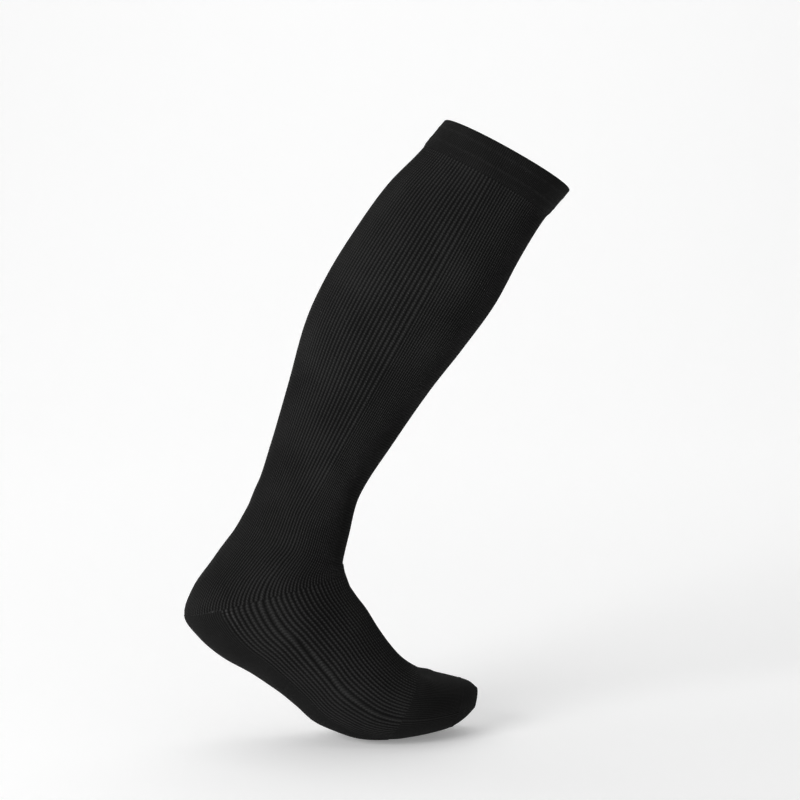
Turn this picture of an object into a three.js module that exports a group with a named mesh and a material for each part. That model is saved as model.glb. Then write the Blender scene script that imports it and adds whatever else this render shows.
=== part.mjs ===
// Knee-length diabetic sock in its worn, walking pose: heel raised, ball and toes on the ground.
// Millimetres. +X is towards the toes, +Y towards the wearer's inner side, +Z is up.
// The origin is the middle of the top band's opening.
import * as THREE from 'three';

// Cloth
const WALL = 1.5;
const BAND_EXTRA = 0.9;
const PLAIN_EXTRA = 0.6;
const SEAM_GAP = 0.3;
const TIP_BULGE = 1.5;

// Pose
const LEG_FORWARD = 29.2;
const LEG_SIDEWAYS = 5.5;
const FOOT_YAW = 5;
const POSE_BLEND = 40;

// Lengths down the sock
const BAND_HEIGHT = 26;
const CREASE_DOWN = 341.6;
const CREASE_FRONT = 43.2;

// Roundness of the sections (2 is an ellipse, more is squarer)
const FRONT_POWER = 2.1;
const LEG_BACK_POWER = 2.1;
const SOLE_POWER = 2.9;

// Where down its depth a section is widest
const HEEL_MIDDLE = 0.43;
const FOOT_MIDDLE = 0.55;

// Facets
const AROUND = 40;
const SOLE_COLUMNS = 14;
const INSTEP_COLUMNS = 26;
const FOOT_ROWS = 16;
const HEEL_SIDE_ROWS = 3;


// Leg sections square to the leg's axis, with the reach of the cloth from that axis each way.
const LEG = [
  { down: 0, front: 55.6, back: 55.6, outer: 52, inner: 52 },
  { down: 30, front: 50, back: 61.5, outer: 52, inner: 53 },
  { down: 65, front: 48.5, back: 71, outer: 53, inner: 56 },
  { down: 107, front: 49, back: 76, outer: 54, inner: 58 },
  { down: 150, front: 43.8, back: 78, outer: 51, inner: 56 },
  { down: 190, front: 37.5, back: 75, outer: 46, inner: 50 },
  { down: 240, front: 32.5, back: 63, outer: 39, inner: 41 },
  { down: 290, front: 29.5, back: 51.5, outer: 33, inner: 34 },
  { down: 322, front: 37.5, back: 45.8, outer: 33, inner: 34 },
];

// Heel sections fan out from the crease in front of the ankle, and foot sections follow them.
// along and below place the front of a section from the crease, turn is its swing from square to
// the leg, deep its front to back size, ridge the shift of its front to the inner side.
const HEEL = [
  { along: 0, below: 0, turn: 12, deep: 89, outer: 35, inner: 35, ridge: 0 },
  { along: 0.5, below: 3, turn: 26, deep: 103, outer: 36.5, inner: 36.5, ridge: 0 },
  { along: 1, below: 6, turn: 36.5, deep: 121, outer: 36.5, inner: 36.5, ridge: 0 },
  { along: 1.8, below: 9.5, turn: 43.5, deep: 131, outer: 36.5, inner: 36, ridge: 0 },
  { along: 3, below: 13, turn: 50, deep: 126, outer: 36.5, inner: 35.5, ridge: 0 },
  { along: 4.6, below: 17.5, turn: 58, deep: 116, outer: 37, inner: 35, ridge: 0 },
  { along: 7.4, below: 23, turn: 67, deep: 103.5, outer: 38, inner: 35, ridge: 0.5 },
  { along: 12, below: 30, turn: 76, deep: 96.5, outer: 39, inner: 35, ridge: 1 },
];
const FOOT = [
  { along: 19, below: 39.5, turn: 81, deep: 93.5, outer: 41, inner: 35, ridge: 2 },
  { along: 28, below: 54.5, turn: 83, deep: 89, outer: 44, inner: 36, ridge: 4 },
  { along: 38, below: 69, turn: 84, deep: 80, outer: 48, inner: 37, ridge: 6 },
  { along: 48, below: 80.5, turn: 87, deep: 71, outer: 52, inner: 37, ridge: 9 },
  { along: 60, below: 89, turn: 91, deep: 60, outer: 55, inner: 36, ridge: 12 },
  { along: 72.5, below: 93.5, turn: 95, deep: 51.5, outer: 52, inner: 34, ridge: 14 },
  { along: 84.5, below: 97, turn: 99, deep: 44.5, outer: 44, inner: 31, ridge: 16 },
  { along: 95, below: 100, turn: 103, deep: 37.5, outer: 34, inner: 26, ridge: 17 },
  { along: 103, below: 103, turn: 106, deep: 28.5, outer: 23, inner: 19, ridge: 18 },
  { along: 109, below: 108, turn: 108, deep: 16, outer: 10, inner: 9, ridge: 18 },
];

// Angle of the instep's edge round the section, from the section's front, against the share of
// the foot's length.
const EDGE = [
  { share: 0, angle: 118 },
  { share: 0.25, angle: 122 },
  { share: 0.5, angle: 126 },
  { share: 1, angle: 128 },
];

const radians = THREE.MathUtils.degToRad;

/** Value of one column at a station, on a smooth curve through the rows. */
function column(rows, key, name, at) {
  const last = rows.length - 2;
  let i = 0;
  while (i < last && rows[i + 1][key] <= at) i += 1;
  const a = rows[i];
  const b = rows[i + 1];
  const span = b[key] - a[key];
  const before = rows[Math.max(i - 1, 0)];
  const after = rows[Math.min(i + 2, rows.length - 1)];
  const slopeA = (b[name] - before[name]) / (b[key] - before[key]);
  const slopeB = (after[name] - a[name]) / (after[key] - a[key]);
  const t = (at - a[key]) / span;
  const t2 = t * t;
  const t3 = t2 * t;
  return a[name] * (2 * t3 - 3 * t2 + 1) + b[name] * (3 * t2 - 2 * t3)
    + span * (slopeA * (t3 - 2 * t2 + t) + slopeB * (t3 - t2));
}

/** Unit vector in the side view, turned from square to the leg and pointing front to back. */
function backward(turn) {
  const angle = radians(180 - LEG_FORWARD + turn);
  return new THREE.Vector2(Math.cos(angle), Math.sin(angle));
}

const legDown = backward(90);
const legFront = backward(180);
const crease = legDown.clone().multiplyScalar(CREASE_DOWN).addScaledVector(legFront, CREASE_FRONT);

/** Brings the three tables to one list of sections, each with its station down the sock. */
function listSections() {
  const rows = [];
  for (const row of LEG) {
    const front = legDown.clone().multiplyScalar(row.down).addScaledVector(legFront, row.front);
    const deep = row.front + row.back;
    const middle = row.front / deep;
    rows.push({ ...row, front, deep, turn: 0, ridge: 0, middle, power: LEG_BACK_POWER });
  }
  for (const row of [...HEEL, ...FOOT]) {
    const front = crease.clone().add(new THREE.Vector2(row.along, -row.below));
    const share = Math.min(row.turn / 80, 1);
    const middle = HEEL_MIDDLE + (FOOT_MIDDLE - HEEL_MIDDLE) * share;
    const power = LEG_BACK_POWER + (SOLE_POWER - LEG_BACK_POWER) * share ** 2;
    rows.push({ ...row, front, middle, power });
  }
  let station = 0;
  return rows.map((row, i) => {
    const centre = row.front.clone().addScaledVector(backward(row.turn), row.deep / 2);
    if (i > 0) station += centre.distanceTo(rows[i - 1].centre);
    row.centre = centre;
    return { ...row, x: row.front.x, z: row.front.y, station };
  });
}

const sections = listSections();
const HEEL_ROW = LEG.length + 3;
const stations = sections.map((row) => row.station);
const ankle = sections[LEG.length];
const GORE = stations[HEEL_ROW];
const HEEL_END = stations[LEG.length + HEEL.length];
const TOE_START = stations[stations.length - 6];
const TOE_END = stations[stations.length - 1];

/** Signed power that turns a circle's sine or cosine into a squarer curve's. */
function squared(value, power) {
  return Math.sign(value) * Math.abs(value) ** (2 / power);
}

/** Point of the rib cloth's outer face at a station and an angle round from the front. */
function cloth(station, angle) {
  const value = (name) => column(sections, 'station', name, station);
  const back = backward(value('turn'));
  const deep = value('deep');
  const middle = value('middle') * deep;
  const cos = Math.cos(angle);
  const sin = Math.sin(angle);
  const power = cos > 0 ? FRONT_POWER : value('power');
  const reach = cos > 0 ? middle : deep - middle;
  const depth = middle - reach * squared(cos, power);
  const side = sin > 0 ? value('inner') : -value('outer');
  const width = side * squared(Math.abs(sin), power) + value('ridge');
  const point = new THREE.Vector3(value('x') + back.x * depth, width, value('z') + back.y * depth);
  return posed(point, station);
}

/** Swings a point about the ankle: the leg leans to the inner side, the foot turns with its toes. */
function posed(point, station) {
  const centre = new THREE.Vector3(ankle.centre.x, 0, ankle.centre.y);
  const blend = THREE.MathUtils.smoothstep(station, ankle.station - POSE_BLEND, HEEL_END + POSE_BLEND);
  const lean = radians(-LEG_SIDEWAYS * (1 - blend));
  const yaw = radians(FOOT_YAW * blend);
  point.sub(centre);
  point.applyAxisAngle(new THREE.Vector3(1, 0, 0), lean);
  point.applyAxisAngle(new THREE.Vector3(0, 0, 1), yaw);
  return point.add(centre);
}

/** Steps along the cloth at a point: one down the sock, one round it. */
function tangents(station, angle) {
  const step = 0.05;
  const turn = 0.01;
  const ahead = Math.min(station + step, TOE_END - 0.01);
  const behind = Math.max(station - step, 0.01);
  const down = cloth(ahead, angle).sub(cloth(behind, angle)).divideScalar(ahead - behind);
  const round = cloth(station, angle + turn).sub(cloth(station, angle - turn)).divideScalar(2 * turn);
  return { down, round };
}

const origin = cloth(0, 0).add(cloth(0, Math.PI)).divideScalar(2);

/** The two faces of the cloth at one place, the outer one raised by a zone's extra thickness. */
function faces(station, angle, extra) {
  const { down, round } = tangents(station, angle);
  const out = down.clone().cross(round).normalize();
  const point = cloth(station, angle).sub(origin);
  return {
    outer: point.clone().addScaledVector(out, extra),
    inner: point.clone().addScaledVector(out, -WALL),
  };
}

/** Station moved clear of a seam that crosses it in the given direction. */
function clearOf(station, angle, side, seam) {
  const { down, round } = tangents(station, angle);
  const crossing = (seam ?? round).clone().normalize();
  const square = down.clone().addScaledVector(crossing, -down.dot(crossing));
  return station + (side * SEAM_GAP) / 2 / square.length();
}

/** Closed wall over a grid of places, as a ring or as a strip, with an optional closed tip. */
function wall({ name, rows, columns, place, extra, ring = false, tip = false, material }) {
  const across = ring ? columns : columns + 1;
  const positions = [];
  const index = [];
  const skins = { outer: [], inner: [] };
  for (let i = 0; i <= rows; i += 1) {
    for (let j = 0; j < across; j += 1) {
      const { station, angle } = place(i / rows, j / columns);
      const pair = faces(station, angle, extra);
      skins.outer.push(pair.outer);
      skins.inner.push(pair.inner);
    }
  }
  for (const point of [...skins.outer, ...skins.inner]) positions.push(point.x, point.y, point.z);
  const inside = skins.outer.length;
  const at = (i, j) => i * across + (ring ? j % columns : j);
  const quad = (a, b, c, d) => index.push(a, b, c, a, c, d);
  for (let i = 0; i < rows; i += 1) {
    for (let j = 0; j < columns; j += 1) {
      quad(at(i, j), at(i + 1, j), at(i + 1, j + 1), at(i, j + 1));
      quad(inside + at(i, j), inside + at(i, j + 1), inside + at(i + 1, j + 1), inside + at(i + 1, j));
    }
  }
  for (let j = 0; j < columns; j += 1) {
    quad(at(0, j), at(0, j + 1), inside + at(0, j + 1), inside + at(0, j));
    if (!tip) quad(at(rows, j + 1), at(rows, j), inside + at(rows, j), inside + at(rows, j + 1));
  }
  if (!ring) {
    for (let i = 0; i < rows; i += 1) {
      quad(at(i + 1, 0), at(i, 0), inside + at(i, 0), inside + at(i + 1, 0));
      quad(at(i, columns), at(i + 1, columns), inside + at(i + 1, columns), inside + at(i, columns));
    }
  }
  if (tip) closeTip(positions, index, skins, at, rows, columns);
  const geometry = new THREE.BufferGeometry();
  geometry.setAttribute('position', new THREE.Float32BufferAttribute(positions, 3));
  geometry.setIndex(index);
  geometry.computeVertexNormals();
  const mesh = new THREE.Mesh(geometry, material);
  mesh.name = name;
  return mesh;
}

/** Closes both faces of a wall over the last ring with a fan to its middle. */
function closeTip(positions, index, skins, at, rows, columns) {
  const inside = skins.outer.length;
  const middle = (points) => {
    const sum = new THREE.Vector3();
    for (let j = 0; j < columns; j += 1) sum.add(points[at(rows, j)]);
    return sum.divideScalar(columns);
  };
  const forward = cloth(TOE_END, 0).sub(cloth(TOE_END - 2, 0)).normalize();
  const outer = middle(skins.outer).addScaledVector(forward, TIP_BULGE);
  const inner = middle(skins.inner).addScaledVector(forward, TIP_BULGE);
  const outerTip = positions.length / 3;
  positions.push(outer.x, outer.y, outer.z, inner.x, inner.y, inner.z);
  for (let j = 0; j < columns; j += 1) {
    index.push(at(rows, j), outerTip, at(rows, j + 1));
    index.push(inside + at(rows, j + 1), outerTip + 1, inside + at(rows, j));
  }
}

/** Angle of the instep's edge, counted from the front. */
function edgeAngle(station) {
  const share = THREE.MathUtils.clamp((station - GORE) / (TOE_START - GORE), 0, 1);
  return radians(column(EDGE, 'share', 'angle', share));
}

/** Station of the heel's lower end, where across runs from -1 to 1 over the sole. */
function heelEnd(across) {
  const corner = GORE + ((TOE_START - GORE) * HEEL_SIDE_ROWS) / FOOT_ROWS;
  return corner + (HEEL_END - corner) * Math.cos((across * Math.PI) / 2);
}

/** Place on a full ring between two stations. */
function ringPlace(from, to) {
  return (share, turn) => {
    const angle = 2 * Math.PI * turn;
    const start = from > 0 ? clearOf(from, angle, 1) : from;
    const end = to < TOE_END ? clearOf(to, angle, -1) : to;
    return { station: start + (end - start) * share, angle };
  };
}

/** Place on a strip between two seams round the sock and two edges down it. */
function stripPlace({ middle, half, from, to }) {
  const bounded = (seam, across, side) => {
    const angleAt = (share) => middle + share * half(seam(share));
    const onSeam = (share) => cloth(seam(share), angleAt(share));
    const trend = onSeam(across * 0.99 + 0.01).sub(onSeam(across * 0.99 - 0.01));
    return clearOf(seam(across), angleAt(across), side, trend);
  };
  return (share, turn) => {
    const across = 2 * turn - 1;
    const start = bounded(from, across, 1);
    const end = bounded(to, across, -1);
    const station = start + (end - start) * share;
    const { round } = tangents(station, middle + half(station));
    const reach = half(station) - SEAM_GAP / 2 / round.length();
    return { station, angle: middle + across * reach };
  };
}

const ribCloth = new THREE.MeshStandardMaterial({ color: 0x1d1d1f, roughness: 0.95, metalness: 0 });
const plainCloth = new THREE.MeshStandardMaterial({ color: 0x1a1a1c, roughness: 0.92, metalness: 0 });
const soleHalf = (station) => Math.PI - edgeAngle(station);

const sock = new THREE.Group();
sock.name = 'diabetic_sock';
sock.add(
  wall({
    name: 'top_band', rows: 3, columns: AROUND, ring: true, extra: BAND_EXTRA,
    place: ringPlace(0, BAND_HEIGHT), material: plainCloth,
  }),
  wall({
    name: 'leg', rows: 24, columns: AROUND, ring: true, extra: 0,
    place: ringPlace(BAND_HEIGHT, GORE), material: ribCloth,
  }),
  wall({
    name: 'instep', rows: FOOT_ROWS, columns: INSTEP_COLUMNS, extra: 0, material: ribCloth,
    place: stripPlace({ middle: 0, half: edgeAngle, from: () => GORE, to: () => TOE_START }),
  }),
  wall({
    name: 'heel', rows: 2 * HEEL_SIDE_ROWS, columns: SOLE_COLUMNS, extra: PLAIN_EXTRA, material: plainCloth,
    place: stripPlace({ middle: Math.PI, half: soleHalf, from: () => GORE, to: heelEnd }),
  }),
  wall({
    name: 'sole', rows: FOOT_ROWS - HEEL_SIDE_ROWS, columns: SOLE_COLUMNS, extra: PLAIN_EXTRA,
    place: stripPlace({ middle: Math.PI, half: soleHalf, from: heelEnd, to: () => TOE_START }),
    material: plainCloth,
  }),
  wall({
    name: 'toe', rows: 10, columns: AROUND, ring: true, tip: true, extra: PLAIN_EXTRA,
    place: ringPlace(TOE_START, TOE_END), material: plainCloth,
  }),
);

export default sock;
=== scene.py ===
"""Looks of a knee-length ribbed diabetic sock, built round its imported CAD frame."""

import logging
import math
from collections.abc import Callable
from dataclasses import dataclass, field
from enum import Enum

import bpy
import numpy as np
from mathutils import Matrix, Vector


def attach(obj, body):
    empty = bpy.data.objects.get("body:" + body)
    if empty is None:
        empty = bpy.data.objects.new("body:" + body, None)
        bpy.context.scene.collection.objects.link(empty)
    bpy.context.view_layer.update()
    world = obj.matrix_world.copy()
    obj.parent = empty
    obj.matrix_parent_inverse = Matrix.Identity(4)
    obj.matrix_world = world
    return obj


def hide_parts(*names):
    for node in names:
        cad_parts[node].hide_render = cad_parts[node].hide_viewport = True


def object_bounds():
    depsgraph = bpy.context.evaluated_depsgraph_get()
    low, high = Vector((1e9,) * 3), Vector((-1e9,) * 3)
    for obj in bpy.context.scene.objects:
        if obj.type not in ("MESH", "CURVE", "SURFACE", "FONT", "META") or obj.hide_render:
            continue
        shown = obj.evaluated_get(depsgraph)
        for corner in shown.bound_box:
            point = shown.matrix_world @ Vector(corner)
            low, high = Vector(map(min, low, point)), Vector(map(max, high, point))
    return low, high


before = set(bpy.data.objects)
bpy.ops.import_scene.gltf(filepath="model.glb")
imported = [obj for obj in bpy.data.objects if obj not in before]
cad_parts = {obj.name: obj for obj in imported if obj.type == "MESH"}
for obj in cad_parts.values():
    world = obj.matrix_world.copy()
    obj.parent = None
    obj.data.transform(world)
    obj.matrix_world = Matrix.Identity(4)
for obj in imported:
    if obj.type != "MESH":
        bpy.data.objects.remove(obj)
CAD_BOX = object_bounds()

log = logging.getLogger("sock")

MM = 0.001
TIP_BULGE = 1.2
RIM_BENDS = (150, 120, 90, 60, 30)
SMOOTH_ANGLE = 75.0
Array = np.ndarray
Place = Callable[[Array, Array], tuple[Array, Array]]


# ---------------------------------------------------------------------------
# Shader writing
# ---------------------------------------------------------------------------


class Wire:
    """A value socket that takes part in Python arithmetic."""

    def __init__(self, shade: "Shade", socket: bpy.types.NodeSocket) -> None:
        """Keeps the graph and the socket."""
        self.shade = shade
        self.socket = socket

    def _math(self, operation: str, *values: "Wire | float") -> "Wire":
        """Adds one Math node and returns its output."""
        return self.shade.node("ShaderNodeMath", {"operation": operation}, *values)["Value"]

    def __add__(self, other: "Wire | float") -> "Wire":
        """Sum."""
        return self._math("ADD", self, other)

    __radd__ = __add__

    def __mul__(self, other: "Wire | float") -> "Wire":
        """Product."""
        return self._math("MULTIPLY", self, other)

    __rmul__ = __mul__

    def __sub__(self, other: "Wire | float") -> "Wire":
        """Difference."""
        return self._math("SUBTRACT", self, other)

    def __rsub__(self, other: "Wire | float") -> "Wire":
        """Difference the other way round."""
        return self._math("SUBTRACT", other, self)

    def fract(self) -> "Wire":
        """Fractional part."""
        return self._math("FRACT", self)

    def cosine(self) -> "Wire":
        """Cosine of radians."""
        return self._math("COSINE", self)

    def size(self) -> "Wire":
        """Absolute value."""
        return self._math("ABSOLUTE", self)

    def rising(self, low: float, high: float) -> "Wire":
        """Smooth step from 0 at low to 1 at high."""
        settings = {"interpolation_type": "SMOOTHSTEP"}
        return self.shade.node("ShaderNodeMapRange", settings, self, low, high, 0.0, 1.0)["Result"]


class Shade:
    """The node graph of one material."""

    def __init__(self, name: str) -> None:
        """Starts an empty material graph with its output."""
        self.material = bpy.data.materials.new(name)
        self.material.use_nodes = True
        self.tree = self.material.node_tree
        self.tree.nodes.clear()

    def node(
        self, kind: str, settings: dict[str, object], *values: object, **named: object
    ) -> dict[str, Wire]:
        """Adds a node.

        Args:
            kind: the node's type.
            settings: attributes that are set first.
            values: values or links of its first enabled sockets, in order.
            named: values or links of sockets by name, with _ for a space.

        Returns:
            The enabled outputs by name.
        """
        made = self.tree.nodes.new(kind)
        for key, value in settings.items():
            setattr(made, key, value)
        pairs = list(zip([i for i in made.inputs if i.enabled], values))
        pairs += [(made.inputs[k.replace("_", " ")], v) for k, v in named.items()]
        for socket, value in pairs:
            if isinstance(value, Wire):
                self.tree.links.new(value.socket, socket)
            else:
                socket.default_value = value
        return {s.name: Wire(self, s) for s in made.outputs if s.enabled}


@dataclass(frozen=True)
class KnitFinish:
    """Dull dyed yarn, knitted plain or in ribs, on a UV map of wales and courses, with painted shade in
    the gaps between wales and stitch loops.
    """

    name: str
    slot: str
    # The darker colour is both the low end of the yarn's random tone and painted shade in the gaps between
    # wales and stitch loops; the lighter one is the yarn on the wales and loops.
    dark_yarn_and_gap_shade: tuple[float, float, float]
    light: tuple[float, float, float]
    wale_depth: float
    stitch_depth: float
    # Pale stretched yarn of the joining stitches, and the painted highlight of the top band's two raised
    # lines.
    pale_yarn_and_highlight: tuple[float, float, float] = (0.045, 0.045, 0.045)
    roughness: float = 0.86
    rough_spread: float = 0.12
    sheen: float = 0.01
    sheen_roughness: float = 0.5
    specular: float = 0.03
    fuzz_scale: float = 900.0
    fuzz_height: float = 0.25
    drift_scale: float = 22.0
    eyelet_and_highlight_scale: float = 240.0
    chevron_slant: float = 0.45
    bump_strength: float = 0.85
    bump_distance: float = 0.00035

    def material(self) -> bpy.types.Material:
        """Builds the material.

        Returns:
            The knit material with stitch bump, yarn tone with painted shade between wales and stitches,
            pale joining stitches, a painted highlight on the top band's lines, and fuzz.
        """
        s = Shade(self.name)
        uv = s.node("ShaderNodeUVMap", {"uv_map": "Knit"})["UV"]
        parts = s.node("ShaderNodeSeparateXYZ", {}, uv)
        wale, course = parts["X"], parts["Y"]
        across = (wale.fract() - 0.5).size() * 2.0
        leg = 1.0 - across
        chevron = (course - across * self.chevron_slant).fract()
        loop = 0.5 - (chevron * math.tau).cosine() * 0.5
        fuzz = self._noise(s, self.fuzz_scale, 3.0)
        drift = self._noise(s, self.drift_scale, 2.0)
        height = leg * self.wale_depth + loop * leg * self.stitch_depth + fuzz * self.fuzz_height
        bump = s.node(
            "ShaderNodeBump", {}, Strength=self.bump_strength, Distance=self.bump_distance, Height=height
        )["Normal"]
        # Painted shade: lighter on the wales and stitch loops, darker in the gaps between them where shade
        # falls; the two noises add the yarn's random tone.
        tone = (leg * 0.5 + loop * leg * 0.45 + (fuzz - 0.5) * 0.5 + (drift - 0.5) * 0.5).rising(0.0, 0.95)
        yarn = self._mix(s, tone, self.dark_yarn_and_gap_shade, self.light)
        shader = s.node(
            "ShaderNodeBsdfPrincipled",
            {},
            # Pale stretched yarn at the joining stitches, and a painted highlight on the top band's two
            # lines.
            Base_Color=self._mix(s, self._eyelets_and_band_highlight(s), yarn, self.pale_yarn_and_highlight),
            Roughness=self.roughness + (fuzz - 0.5) * self.rough_spread,
            Normal=bump,
            Sheen_Weight=self.sheen,
            Sheen_Roughness=self.sheen_roughness,
            Specular_IOR_Level=self.specular,
        )["BSDF"]
        s.node("ShaderNodeOutputMaterial", {}, Surface=shader)
        return s.material

    def _noise(self, s: Shade, scale: float, detail: float) -> Wire:
        """Noise over the object's own space."""
        place = s.node("ShaderNodeTexCoord", {})["Object"]
        settings = {"noise_dimensions": "3D"}
        return s.node("ShaderNodeTexNoise", settings, place, Scale=scale, Detail=detail)["Fac"]

    def _mix(self, s: Shade, share: Wire, *colours: "Wire | tuple[float, float, float]") -> Wire:
        """Mixes two colours by a share."""
        ends = [c if isinstance(c, Wire) else (*c, 1.0) for c in colours]
        return s.node("ShaderNodeMix", {"data_type": "RGBA"}, share, *ends)["Result"]

    def _eyelets_and_band_highlight(self, s: Shade) -> Wire:
        """Marks the stretched stitches along the heel's joining line, and the painted highlight on the top
        band's two lines.
        """
        uv = s.node("ShaderNodeUVMap", {"uv_map": "Join"})["UV"]
        parts = s.node("ShaderNodeSeparateXYZ", {}, uv)
        along = (parts["X"].fract() - 0.5).size() * 2.0
        away = parts["Y"].size()
        drawn = self._noise(s, self.eyelet_and_highlight_scale, 1.0).rising(0.34, 0.62) * 0.8 + 0.2
        return (1.0 - along.rising(0.35, 0.8)) * (1.0 - away.rising(0.3, 1.0)) * drawn


# ---------------------------------------------------------------------------
# The form of the sock, in millimetres
# ---------------------------------------------------------------------------

LEG_ROWS = {
    "down": (0, 30, 65, 107, 150, 190, 240, 290, 322),
    "front": (55.6, 50, 48.5, 49, 43.8, 37.5, 32.5, 29.5, 37.5),
    "back": (55.6, 61.5, 71, 76, 78, 75, 63, 51.5, 45.8),
    "outer": (52, 52, 53, 54, 51, 46, 39, 33, 33),
    "inner": (52, 53, 56, 58, 56, 50, 41, 34, 34),
}
FOOT_ROWS = {
    "along": (0, 0.5, 1, 1.8, 3, 4.6, 7.4, 12, 19, 28, 38, 48, 60, 72.5, 84.5, 95, 103, 109),
    "below": (0, 3, 6, 9.5, 13, 17.5, 23, 30, 39.5, 54.5, 69, 80.5, 89, 93.5, 97, 100, 103, 108),
    "turn": (12, 26, 36.5, 43.5, 50, 58, 67, 76, 81, 83, 84, 87, 91, 95, 99, 103, 106, 108),
    "deep": (89, 103, 121, 131, 126, 116, 103.5, 96.5, 93.5, 89, 80, 71, 60, 51.5, 44.5, 37.5, 28.5, 16),
    "outer": (35, 36.5, 36.5, 36.5, 36.5, 37, 38, 39, 41, 44, 48, 52, 55, 52, 44, 34, 23, 10),
    "inner": (35, 36.5, 36.5, 36, 35.5, 35, 35, 35, 35, 36, 37, 37, 36, 34, 31, 26, 19, 9),
    "ridge": (0, 0, 0, 0, 0, 0, 0.5, 1, 2, 4, 6, 9, 12, 14, 16, 17, 18, 18),
}
HEEL_ROW_COUNT = 8
EDGE_SHARES = (0.0, 0.25, 0.5, 1.0)
EDGE_ANGLES = (118.0, 122.0, 126.0, 128.0)


def curve(stops: Array, values: Array, at: Array) -> Array:
    """Value at each place on a smooth curve through the stops.

    Args:
        stops: rising places of the rows.
        values: the rows' values.
        at: places to read.

    Returns:
        The values there.
    """
    i = np.clip(np.searchsorted(stops, at, side="right") - 1, 0, len(stops) - 2)
    before = np.maximum(i - 1, 0)
    after = np.minimum(i + 2, len(stops) - 1)
    span = stops[i + 1] - stops[i]
    slope_a = (values[i + 1] - values[before]) / (stops[i + 1] - stops[before])
    slope_b = (values[after] - values[i]) / (stops[after] - stops[i])
    t = (at - stops[i]) / span
    t2, t3 = t * t, t * t * t
    ends = values[i] * (2 * t3 - 3 * t2 + 1) + values[i + 1] * (3 * t2 - 2 * t3)
    return ends + span * (slope_a * (t3 - 2 * t2 + t) + slope_b * (t3 - t2))


def smooth(value: Array, low: float, high: float) -> Array:
    """Smooth step from 0 at low to 1 at high."""
    t = np.clip((value - low) / (high - low), 0.0, 1.0)
    return t * t * (3.0 - 2.0 * t)


@dataclass(frozen=True)
class Crease:
    """One soft trough or ridge pressed into the cloth."""

    station: float
    angle: float
    reach: float
    width: float
    depth: float
    slant: float = 0.0

    def lift(self, station: Array, angle: Array) -> Array:
        """Height that the crease adds.

        Args:
            station: distances down the sock.
            angle: angles round from the front.

        Returns:
            Heights in millimetres.
        """
        turn = (np.degrees(angle) - self.angle + 180.0) % 360.0 - 180.0
        line = station - self.station - self.slant * turn
        along = np.exp(-((turn / self.reach) ** 2))
        return self.depth * along * np.exp(-((line / self.width) ** 2))


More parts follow.
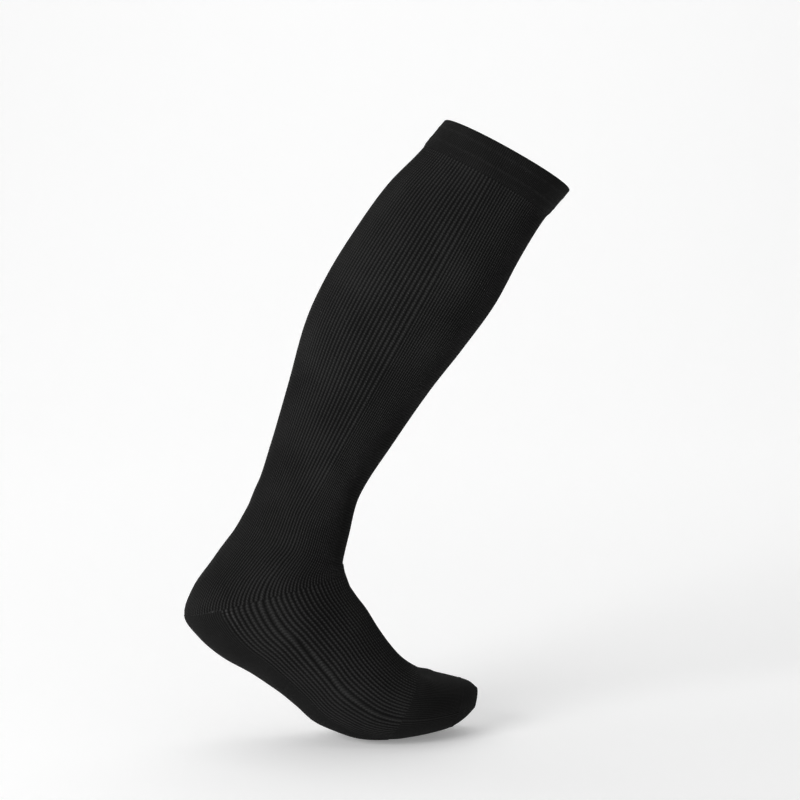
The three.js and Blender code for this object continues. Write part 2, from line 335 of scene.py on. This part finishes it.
@dataclass
class SockForm:
    """The cloth's outer face as a surface over station and angle round from the front."""

    lean_forward: float = 29.2
    lean_sideways: float = 5.5
    foot_yaw: float = 5.0
    pose_blend: float = 40.0
    crease_down: float = 341.6
    crease_front: float = 43.2
    front_power: float = 2.1
    leg_power: float = 2.1
    sole_power: float = 2.9
    heel_middle: float = 0.43
    foot_middle: float = 0.55
    band: float = 26.0
    columns: dict[str, Array] = field(init=False)

    def __post_init__(self) -> None:
        """Brings the tables to one list of sections with their stations."""
        leg = {k: np.array(v, float) for k, v in LEG_ROWS.items()}
        foot = {k: np.array(v, float) for k, v in FOOT_ROWS.items()}
        down, front = self.backward(90.0), self.backward(180.0)
        leg_front = leg["down"][:, None] * down + leg["front"][:, None] * front
        corner = self.crease_down * down + self.crease_front * front
        foot_front = corner + np.stack([foot["along"], -foot["below"]], 1)
        share = np.minimum(foot["turn"] / 80.0, 1.0)
        leg_deep = leg["front"] + leg["back"]
        none = np.zeros(len(leg_deep))
        place = np.concatenate([leg_front, foot_front])
        self.columns = {
            "x": place[:, 0],
            "z": place[:, 1],
            "turn": np.concatenate([none, foot["turn"]]),
            "deep": np.concatenate([leg_deep, foot["deep"]]),
            "outer": np.concatenate([leg["outer"], foot["outer"]]),
            "inner": np.concatenate([leg["inner"], foot["inner"]]),
            "ridge": np.concatenate([none, foot["ridge"]]),
            "middle": np.concatenate(
                [leg["front"] / leg_deep, self.heel_middle + (self.foot_middle - self.heel_middle) * share]
            ),
            "power": np.concatenate(
                [none + self.leg_power, self.leg_power + (self.sole_power - self.leg_power) * share**2]
            ),
        }
        back = np.stack([self.backward(t) for t in self.columns["turn"]])
        centre = place + back * self.columns["deep"][:, None] / 2
        steps = np.linalg.norm(np.diff(centre, axis=0), axis=1)
        self.stations = np.concatenate([[0.0], np.cumsum(steps)])
        count = len(leg_deep)
        self.ankle = centre[count]
        self.ankle_station = self.stations[count]
        self.gore = self.stations[count + 3]
        self.heel_end = self.stations[count + HEEL_ROW_COUNT]
        self.toe_start = self.stations[-6]
        self.end = self.stations[-1]
        both = self.cloth(np.zeros(2), np.array([0.0, math.pi]))
        self.origin = both.mean(axis=0)

    def backward(self, turn: float) -> Array:
        """Side-view direction from front to back of a section that is turned from the leg's."""
        angle = math.radians(180.0 - self.lean_forward + turn)
        return np.array([math.cos(angle), math.sin(angle)])

    def cloth(self, station: Array, angle: Array) -> Array:
        """Points of the rib cloth's outer face.

        Args:
            station: distances down the sock.
            angle: angles round from the front, positive to the inner side.

        Returns:
            Points in millimetres from the leg table's own start.
        """
        c = {k: curve(self.stations, v, station) for k, v in self.columns.items()}
        swing = np.radians(180.0 - self.lean_forward + c["turn"])
        middle = c["middle"] * c["deep"]
        cos, sin = np.cos(angle), np.sin(angle)
        power = np.where(cos > 0, self.front_power, c["power"])
        reach = np.where(cos > 0, middle, c["deep"] - middle)
        depth = middle - reach * np.sign(cos) * np.abs(cos) ** (2 / power)
        side = np.where(sin > 0, c["inner"], -c["outer"])
        y = side * np.abs(sin) ** (2 / power) + c["ridge"]
        x = c["x"] + np.cos(swing) * depth - self.ankle[0]
        z = c["z"] + np.sin(swing) * depth - self.ankle[1]
        blend = smooth(station, self.ankle_station - self.pose_blend, self.heel_end + self.pose_blend)
        lean = np.radians(-self.lean_sideways * (1 - blend))
        yaw = np.radians(self.foot_yaw * blend)
        y, z = y * np.cos(lean) - z * np.sin(lean), y * np.sin(lean) + z * np.cos(lean)
        x, y = x * np.cos(yaw) - y * np.sin(yaw), x * np.sin(yaw) + y * np.cos(yaw)
        return np.stack([x + self.ankle[0], y, z + self.ankle[1]], -1)

    def face(self, station: Array, angle: Array) -> tuple[Array, Array]:
        """Points from the row's origin and the cloth's outward directions.

        Args:
            station: distances down the sock.
            angle: angles round from the front.

        Returns:
            Points in millimetres and unit normals.
        """
        ahead = np.minimum(station + 0.05, self.end - 0.01)
        behind = np.maximum(station - 0.05, 0.01)
        down = self.cloth(ahead, angle) - self.cloth(behind, angle)
        round_ = self.cloth(station, angle + 0.01) - self.cloth(station, angle - 0.01)
        out = np.cross(down, round_)
        out /= np.linalg.norm(out, axis=-1, keepdims=True)
        return self.cloth(station, angle) - self.origin, out

    def edge(self, station: Array) -> Array:
        """Angle of the instep's edge, counted from the front."""
        share = np.clip((station - self.gore) / (self.toe_start - self.gore), 0.0, 1.0)
        return np.radians(curve(np.array(EDGE_SHARES), np.array(EDGE_ANGLES), share))

    def heel_seam(self, across: Array) -> Array:
        """Station of the heel's lower end, where across runs from -1 to 1 over the sole."""
        corner = self.gore + (self.toe_start - self.gore) * 3 / 16
        return corner + (self.heel_end - corner) * np.cos(across * math.pi / 2)


FORM = SockForm()

CREASES = (
    Crease(FORM.gore - 10.0, -52.0, 34.0, 9.0, -0.6, 0.08),
    Crease(FORM.gore - 30.0, -48.0, 30.0, 9.0, 0.45, -0.04),
    Crease(FORM.gore - 46.0, -64.0, 26.0, 8.0, -0.5, 0.06),
    Crease(FORM.gore + 16.0, 48.0, 34.0, 9.0, -0.5, 0.06),
    Crease(FORM.gore + 33.0, 16.0, 30.0, 8.0, -0.4, -0.04),
    Crease(FORM.ankle_station - 16.0, 178.0, 30.0, 6.0, -0.5, 0.04),
    Crease(FORM.ankle_station - 34.0, 160.0, 26.0, 7.0, -0.4, -0.05),
)


KNUCKLES = (
    Crease(FORM.toe_start + 9.0, -34.0, 15.0, 6.5, 1.1),
    Crease(FORM.toe_start + 12.0, 2.0, 13.0, 6.0, 0.9),
    Crease(FORM.toe_start + 15.0, 34.0, 13.0, 6.0, 1.0),
    Crease(FORM.toe_start + 11.0, -16.0, 8.0, 8.0, -0.5),
    Crease(FORM.toe_start + 14.0, 18.0, 8.0, 8.0, -0.5),
)


def from_front(angle: Array) -> Array:
    """Angle from the front in degrees, from -180 to 180."""
    return np.degrees((angle + math.pi) % math.tau - math.pi)


@dataclass(frozen=True)
class RibEase:
    """How the ribs flatten in the ankle's bend, under the band and before the toe."""

    front_reach: float = 62.0
    bend_reach: float = 15.0
    bend_loss: float = 0.7
    toe_reach: float = 16.0
    toe_loss: float = 0.55
    band_reach: float = 7.0
    band_loss: float = 0.65

    def share(self, station: Array, angle: Array) -> Array:
        """Share of the ribs' full depth.

        Args:
            station: distances down the sock.
            angle: angles round from the front.

        Returns:
            Shares from 0 to 1.
        """
        front = np.exp(-((from_front(angle) / self.front_reach) ** 2))
        bend = 1.0 - self.bend_loss * front * np.exp(-(((station - FORM.gore) / self.bend_reach) ** 2))
        toe = 1.0 - self.toe_loss * smooth(station, FORM.toe_start - self.toe_reach, FORM.toe_start)
        start = 1.0 - self.band_loss
        band = start + self.band_loss * smooth(station, FORM.band, FORM.band + self.band_reach)
        return bend * toe * band


@dataclass(frozen=True)
class BandFace:
    """Relief and marks of the top band: its taper to the leg and two raised lines with a painted
    highlight.
    """

    taper: float = 0.7
    taper_reach: float = 3.5
    lines: tuple[float, ...] = (6.5, 17.5)
    height: float = 0.22
    width: float = 1.3
    highlight_base: float = 0.78
    highlight_fade: float = 0.13

    def lift(self, station: Array) -> Array:
        """Height added at each place, in millimetres."""
        lift = -self.taper * smooth(station, FORM.band - self.taper_reach, FORM.band)
        for line in self.lines:
            lift = lift + self.height * np.exp(-(((station - line) / self.width) ** 2))
        return lift

    def marks(self, station: Array) -> tuple[Array, Array]:
        """Marks the lines for a painted highlight, so that they read lighter.

        Args:
            station: distances down the sock.

        Returns:
            A constant half stitch, and distances that stay near the lines.
        """
        nearest = np.min([np.abs(station - line) for line in self.lines], axis=0)
        return np.full(station.shape, 0.5), self.highlight_base + self.highlight_fade * nearest


@dataclass(frozen=True)
class ToeFace:
    """Relief of the toe cap: its start level with the instep, its linked seam and the knuckles."""

    sink: float = 0.45
    sink_reach: float = 9.0
    seam_from_tip: float = 17.0
    seam_height: float = 0.45
    seam_width: float = 0.9

    def lift(self, station: Array, angle: Array) -> Array:
        """Height added at each place.

        Args:
            station: distances down the sock.
            angle: angles round from the front.

        Returns:
            Heights in millimetres.
        """
        lift = -self.sink * (1.0 - smooth(station, FORM.toe_start, FORM.toe_start + self.sink_reach))
        seam = (station - FORM.end + self.seam_from_tip) / self.seam_width
        lift = lift + self.seam_height * np.exp(-(seam**2))
        for bump in KNUCKLES:
            lift = lift + bump.lift(station, angle)
        return lift


@dataclass(frozen=True)
class JoinStitches:
    """Stretched light stitches along the heel's joining line and down the instep's edges."""

    first: float = 117.0
    last: float = 168.0
    zero: float = 118.0
    pitch: float = 3.2
    border: float = 0.1
    fades: tuple[tuple[float, float, float], ...] = ((124.0, 136.0, 0.35), (140.0, 168.0, 0.45))
    absent: float = 9.0
    rib_count: float = 3.0
    rib_pitch: float = 2.9
    rib_border: float = 0.2
    rib_fade: float = 0.022

    def none(self, angle: Array) -> tuple[Array, Array]:
        """Marks a zone that has no such stitches."""
        swing = np.abs(from_front(angle))
        return (swing - self.zero) / self.pitch, np.full(angle.shape, self.absent)

    def line(self, angle: Array, distance: Array) -> tuple[Array, Array]:
        """Marks the stitches along the line round the heel.

        Args:
            angle: angles round from the front.
            distance: distances from the line, in millimetres.

        Returns:
            Stitch counts and distances, which grow where the stitches fade.
        """
        swing = np.abs(from_front(angle))
        count, absent = self.none(angle)
        away = distance + self.border
        for low, high, amount in self.fades:
            away = away + amount * smooth(swing, low, high)
        return count, np.where((swing > self.first) & (swing < self.last), away, absent)

    def edges(self, ribs: Array, run: Array) -> tuple[Array, Array]:
        """Marks the stitches down the ribs next to the instep's edges.

        Args:
            ribs: rib counts from the nearer edge.
            run: distances from the joining line, in millimetres.

        Returns:
            Stitch counts and distances, which grow away from a rib's middle and down the rib.
        """
        away = np.abs(ribs - np.round(ribs)) * 2.0 + self.rib_border + self.rib_fade * run
        return run / self.rib_pitch, np.where(ribs < self.rib_count, away, self.absent)


RIB_EASE = RibEase()
BAND_FACE = BandFace()
TOE_FACE = ToeFace()
STITCHES = JoinStitches()


class Knit(Enum):
    """How a zone is knitted."""

    RIB = "rib"
    PLAIN = "plain"


@dataclass
class Zone:
    """A zone of the knitted tube: its knit, wall, place and share of stitches."""

    node: str
    knit: Knit
    rows: int
    columns: int
    wales: float
    course: float
    flat: tuple[float, float]
    area: float | None = None
    extra: float = 0.0
    wall: float = 1.5
    rib_depth: float = 0.0
    ring: bool = False
    tip: bool = False
    round_start: bool = False
    place: Place | None = None

    def lift(self, station: Array, angle: Array, across: Array) -> Array:
        """Height of the finished outer face over the plain form.

        Args:
            station: distances down the sock.
            angle: angles round from the front.
            across: shares round the zone.

        Returns:
            Heights in millimetres.
        """
        lift = np.full(station.shape, self.extra)
        for crease in CREASES:
            lift = lift + crease.lift(station, angle)
        if self.knit is Knit.RIB:
            wave = np.cos(across * self.wales * math.tau) - 1.0
            lift = lift + self.rib_depth * RIB_EASE.share(station, angle) * wave
        if self.round_start:
            lift = lift + BAND_FACE.lift(station)
        if self.tip:
            lift = lift + TOE_FACE.lift(station, angle)
        return lift

    def join(self, station: Array, angle: Array, across: Array, run: Array) -> tuple[Array, Array]:
        """Marks the light stitches of this zone, and the painted highlight of the top band's lines.

        Args:
            station: distances down the sock.
            angle: angles round from the front.
            across: shares round the zone.
            run: distances down the zone along the cloth.

        Returns:
            Stitch counts along the marked line and distances from it in millimetres.
        """
        # The top band's two lines get a painted highlight through these marks.
        if self.node == "top_band":
            return BAND_FACE.marks(station)
        if self.node == "leg":
            return STITCHES.line(angle, run[-1] - run)
        if self.node == "heel":
            return STITCHES.line(angle, run)
        if self.node == "instep":
            return STITCHES.edges(np.minimum(across, 1.0 - across) * self.wales, run)
        return STITCHES.none(angle)

    def build(self) -> bpy.types.Object:
        """Builds the zone's closed wall of cloth.

        Returns:
            The finished piece, on its body and in place of its CAD node.
        """
        rows, columns = self.rows, self.columns
        i, j = np.meshgrid(np.arange(rows + 1), np.arange(columns + 1), indexing="ij")
        share, turn = i / rows, j / columns
        station, angle = self.place(share, turn)
        point, out = FORM.face(station, angle)
        outer = point + out * self.lift(station, angle, turn)[..., None]
        inner = point - out * self.wall
        steps = np.linalg.norm(np.diff(point, axis=0), axis=-1)
        run = np.concatenate([np.zeros((1, columns + 1)), np.cumsum(steps, axis=0)])
        count, away = self.join(station, angle, turn, run)
        marks = np.stack([turn * self.wales + 0.5, run / self.course, count, away], -1)
        if self.tip:
            return self._tipped(outer, inner, marks)
        if self.ring:
            return self._torus(outer, inner, marks)
        return self._panel(outer, inner, marks)

    def _panel(self, outer: Array, inner: Array, marks: Array) -> bpy.types.Object:
        """Joins the two faces of an open panel and its four rims to one closed mesh.

        Args:
            outer: points of the outer face by row and column.
            inner: points of the inner face by row and column.
            marks: the two maps' four values at each row and column.

        Returns:
            The finished piece.
        """
        rows, columns = self.rows, self.columns
        points = np.concatenate([outer.reshape(-1, 3), inner.reshape(-1, 3)])
        inside = (rows + 1) * (columns + 1)
        faces, corners = [], []

        def add(ring: tuple) -> None:
            """Adds one face from its (row, column, layer) corners."""
            faces.append([q[0] * (columns + 1) + q[1] + inside * q[2] for q in ring])
            corners.extend(marks[q[0], q[1]] for q in ring)

        for a in range(rows):
            for b in range(columns):
                add(((a, b, 0), (a + 1, b, 0), (a + 1, b + 1, 0), (a, b + 1, 0)))
                add(((a, b + 1, 1), (a + 1, b + 1, 1), (a + 1, b, 1), (a, b, 1)))
            add(((a + 1, 0, 0), (a, 0, 0), (a, 0, 1), (a + 1, 0, 1)))
            add(((a, columns, 0), (a + 1, columns, 0), (a + 1, columns, 1), (a, columns, 1)))
        for b in range(columns):
            add(((0, b, 0), (0, b + 1, 0), (0, b + 1, 1), (0, b, 1)))
            add(((rows, b + 1, 0), (rows, b, 0), (rows, b, 1), (rows, b + 1, 1)))
        return self._finish(points, faces, corners)

    def _torus(self, outer: Array, inner: Array, marks: Array) -> bpy.types.Object:
        """Meshes a ring of cloth: down its outer face, up its inner face and over its top.

        Args:
            outer: points of the outer face by row and column.
            inner: points of the inner face by row and column.
            marks: the two maps' four values at each row and column.

        Returns:
            The finished piece.
        """
        rows, columns = self.rows, self.columns
        back = np.unique(np.linspace(0, rows, max(4, rows // 8) + 1).astype(int))[::-1]
        layers = [*outer, *(inner[k] for k in back)]
        loops = [*marks, *(marks[k] for k in back)]
        if self.round_start:
            middle, half = (inner[0] + outer[0]) / 2, (outer[0] - inner[0]) / 2
            up = outer[0] - outer[1]
            up = up / np.linalg.norm(up, axis=-1, keepdims=True)
            radius = np.linalg.norm(half, axis=-1, keepdims=True)
            for bend in np.radians(RIM_BENDS):
                layers.append(middle + half * math.cos(bend) + up * radius * math.sin(bend))
                loops.append(marks[0])
        points = np.stack(layers)[:, :columns].reshape(-1, 3)
        faces, corners = [], []
        for a in range(len(layers)):
            below = (a + 1) % len(layers)
            for b in range(columns):
                right = (b + 1) % columns
                ring = ((a, b), (below, b), (below, right), (a, right))
                faces.append([q[0] * columns + q[1] for q in ring])
                corners.extend((loops[a][b], loops[below][b], loops[below][b + 1], loops[a][b + 1]))
        return self._finish(points, faces, corners)

    def _tipped(self, outer: Array, inner: Array, marks: Array) -> bpy.types.Object:
        """Meshes a ring of cloth that closes over its far end.

        Args:
            outer: points of the outer face by row and column.
            inner: points of the inner face by row and column.
            marks: the two maps' four values at each row and column.

        Returns:
            The finished piece.
        """
        rows, columns = self.rows, self.columns
        ends = []
        for skin in (outer, inner):
            middle = skin[rows, :columns].mean(axis=0)
            forward = middle - skin[rows - 2, :columns].mean(axis=0)
            ends.append(middle + forward / np.linalg.norm(forward) * TIP_BULGE)
        skins = [skin[:, :columns].reshape(-1, 3) for skin in (outer, inner)]
        points = np.concatenate([*skins, np.stack(ends)])
        inside, last = (rows + 1) * columns, rows * columns
        faces, corners = [], []
        for b in range(columns):
            right = (b + 1) % columns
            for a in range(rows):
                ring = ((a, b, b), (a + 1, b, b), (a + 1, right, b + 1), (a, right, b + 1))
                faces.append([q[0] * columns + q[1] for q in ring])
                corners.extend(marks[q[0], q[2]] for q in ring)
                faces.append([inside + q[0] * columns + q[1] for q in reversed(ring)])
                corners.extend(marks[q[0], q[2]] for q in reversed(ring))
            faces.append((last + b, 2 * inside, last + right))
            faces.append((inside + last + right, 2 * inside + 1, inside + last + b))
            faces.append((b, right, inside + right, inside + b))
            corners.extend([marks[rows, b]] * 6 + [marks[0, b]] * 4)
        return self._finish(points, faces, corners)

    def _finish(self, points: Array, faces: list, corners: list) -> bpy.types.Object:
        """Makes the object, its two UV maps and its shading, and ties it to the frame.

        Args:
            points: the mesh's points in millimetres.
            faces: lists of point numbers.
            corners: the two maps' four values at each face's corners, in order.

        Returns:
            The piece on its body, material and cut.
        """
        mesh = bpy.data.meshes.new(f"{self.node}_knit")
        mesh.from_pydata((points * MM).tolist(), [], [list(map(int, f)) for f in faces])
        values = np.array(corners, dtype=np.float32)
        for name, pair in (("Knit", values[:, :2]), ("Join", values[:, 2:])):
            mesh.uv_layers.new(name=name).data.foreach_set("uv", pair.ravel())
        mesh.update()
        piece = bpy.data.objects.new(f"{self.node}_knit", mesh)
        bpy.context.scene.collection.objects.link(piece)
        bpy.ops.object.select_all(action="DESELECT")
        piece.select_set(True)
        bpy.context.view_layer.objects.active = piece
        bpy.ops.object.shade_smooth_by_angle(angle=math.radians(SMOOTH_ANGLE))
        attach(piece, "root")
        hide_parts(self.node)
        piece.data.materials.append(MATERIALS[self.knit])
        log.info("%s: %d faces", piece.name, len(mesh.polygons))
        return piece


FINISHES = {
    # Each finish's darker colour is partly painted shade in the gaps between wales and stitches.
    Knit.RIB: KnitFinish(
        "rib_knit", "rib_cloth", (0.0045, 0.0045, 0.0045), (0.0285, 0.0285, 0.0282), 0.4, 1.1
    ),
    Knit.PLAIN: KnitFinish(
        "plain_knit", "plain_cloth", (0.005, 0.005, 0.005), (0.019, 0.019, 0.0188), 0.5, 0.7
    ),
}
MATERIALS = {knit: finish.material() for knit, finish in FINISHES.items()}


def ring_place(start: float, end: float) -> Place:
    """Places on a full ring between two stations.

    Args:
        start: station of the ring's upper end.
        end: station of its lower end.

    Returns:
        A function from shares down and round to stations and angles.
    """
    return lambda share, turn: (start + (end - start) * share, turn * math.tau)


def strip_place(middle: float, half: Callable, first: Callable, last: Callable) -> Place:
    """Places on a strip between two seams round the sock and two edges down it.

    Args:
        middle: angle of the strip's middle line.
        half: half the strip's angle at each station.
        first: station of its upper seam, across from -1 to 1.
        last: station of its lower seam.

    Returns:
        A function from shares down and round to stations and angles.
    """

    def place(share: Array, turn: Array) -> tuple[Array, Array]:
        """Station and angle of each share down and round."""
        across = 2.0 * turn - 1.0
        station = first(across) + (last(across) - first(across)) * share
        return station, middle + across * half(station)

    return place


@dataclass
class Sock:
    """The whole sock, zone by zone."""

    gap: float = 0.03

    def build(self) -> None:
        """Builds every zone."""

        def under(station: Array) -> Array:
            """Half the sole's share of the circle."""
            return math.pi - FORM.edge(station)

        zones = (
            Zone("top_band", Knit.PLAIN, 22, 260, 220, 1.3, (0.30, 0.026), extra=0.9, ring=True,
                 round_start=True, place=ring_place(0.0, FORM.band - self.gap)),
            Zone("leg", Knit.RIB, 150, 520, 130, 2.1, (0.30, 0.33), rib_depth=0.28, ring=True,
                 place=ring_place(FORM.band + self.gap, FORM.gore - self.gap)),
            Zone("instep", Knit.RIB, 100, 320, 64, 2.5, (0.165, 0.15), rib_depth=0.26,
                 place=strip_place(0.0, FORM.edge, lambda a: FORM.gore + self.gap + 0 * a,
                                   lambda a: FORM.toe_start - self.gap + 0 * a)),
            Zone("heel", Knit.PLAIN, 40, 90, 60, 1.3, (0.10, 0.08), extra=0.3,
                 place=strip_place(math.pi, under, lambda a: FORM.gore + self.gap + 0 * a,
                                   lambda a: FORM.heel_seam(a) - self.gap)),
            Zone("sole", Knit.PLAIN, 50, 90, 60, 1.3, (0.09, 0.09), extra=0.3,
                 place=strip_place(math.pi, under, lambda a: FORM.heel_seam(a) + self.gap,
                                   lambda a: FORM.toe_start - self.gap + 0 * a)),
            Zone("toe", Knit.PLAIN, 60, 180, 130, 1.3, (0.19, 0.065), extra=0.3, ring=True, tip=True,
                 place=ring_place(FORM.toe_start + self.gap, FORM.end - 0.02)),
        )
        for zone in zones:
            zone.build()


@dataclass(frozen=True)
class Lamp:
    """One soft square lamp: where it stands, its size and power, and what it faces."""

    name: str
    place: tuple[float, float, float]
    size: float
    power: float
    target: tuple[float, float, float] = (-0.12, 0.0, -0.25)


@dataclass
class Studio:
    """Pale floor and backdrop, soft lights and the camera."""

    lamps: tuple[Lamp, ...] = (
        Lamp("key", (-1.9, -2.0, 0.55), 1.5, 62.0),
        Lamp("top", (-1.2, 0.5, 2.3), 2.4, 14.0),
        Lamp("wall", (0.0, 1.6, 3.2), 3.0, 44.0, (0.0, 6.0, 0.4)),
    )
    ambient: float = 0.28
    width: float = 14.0
    tone: float = 0.9
    glow: float = 0.23
    distance: float = 2.0
    aside: float = -0.084
    pitch: float = 5.51
    field_of_view: float = 18.0
    run: float = 14.0
    flat: float = 6.0
    bend: float = 2.4
    front: float = 4.0

    def build(self) -> None:
        """Builds the stage, the lights and the camera."""
        low = CAD_BOX[0][2]
        self._sweep(low)
        for lamp in self.lamps:
            self._light(lamp)
        world = bpy.data.worlds.new("studio")
        world.use_nodes = True
        sky = world.node_tree.nodes["Background"]
        sky.inputs["Color"].default_value = (1.0, 1.0, 1.0, 1.0)
        sky.inputs["Strength"].default_value = self.ambient
        bpy.context.scene.world = world
        camera = bpy.data.cameras.new("camera")
        camera.angle = math.radians(self.field_of_view)
        stand = bpy.data.objects.new("camera", camera)
        stand.location = (self.aside, -self.distance, 0.0)
        stand.rotation_euler = (math.radians(90.0 - self.pitch), 0.0, 0.0)
        bpy.context.scene.collection.objects.link(stand)
        bpy.context.scene.camera = stand
        bpy.context.scene.view_settings.view_transform = "Standard"

    def _sweep(self, low: float) -> None:
        """Makes the floor and the wall behind as one curved sheet."""
        bpy.ops.object.select_all(action="DESELECT")
        bpy.ops.mesh.primitive_grid_add(x_subdivisions=2, y_subdivisions=120, size=1.0)
        floor = bpy.context.active_object
        floor.name = "floor"
        for vertex in floor.data.vertices:
            run = (vertex.co.y + 0.5) * self.run
            turn = min(max((run - self.flat) / self.bend, 0.0), math.pi / 2)
            climb = max(run - self.flat - self.bend * math.pi / 2, 0.0)
            vertex.co.x *= self.width
            vertex.co.y = min(run, self.flat) + self.bend * math.sin(turn) - self.front
            vertex.co.z = low + self.bend * (1.0 - math.cos(turn)) + climb
        bpy.ops.object.shade_smooth()
        shade = Shade("pale_floor")
        place = shade.node("ShaderNodeTexCoord", {})["Object"]
        grain = shade.node("ShaderNodeTexNoise", {}, place, Scale=3.0, Detail=2.0)["Fac"]
        rough = 0.75 + (grain - 0.5) * 0.1
        shader = shade.node(
            "ShaderNodeBsdfPrincipled",
            {},
            Base_Color=(self.tone, self.tone, self.tone, 1.0),
            Roughness=rough,
            Emission_Color=(1.0, 1.0, 1.0, 1.0),
            Emission_Strength=self.glow,
        )["BSDF"]
        shade.node("ShaderNodeOutputMaterial", {}, Surface=shader)
        floor.data.materials.append(shade.material)

    def _light(self, lamp: Lamp) -> None:
        """Adds a lamp that faces its target."""
        data = bpy.data.lights.new(lamp.name, "AREA")
        data.size = lamp.size
        data.energy = lamp.power
        stand = bpy.data.objects.new(lamp.name, data)
        stand.location = lamp.place
        aim = np.array(lamp.target) - np.array(lamp.place)
        flat = math.hypot(aim[0], aim[1])
        stand.rotation_euler = (math.atan2(flat, -aim[2]), 0.0, math.atan2(-aim[0], aim[1]))
        bpy.context.scene.collection.objects.link(stand)


def main() -> None:
    """Builds the sock and its studio."""
    logging.basicConfig(level=logging.INFO)
    Studio().build()
    Sock().build()


if __name__ == "__main__":
    main()
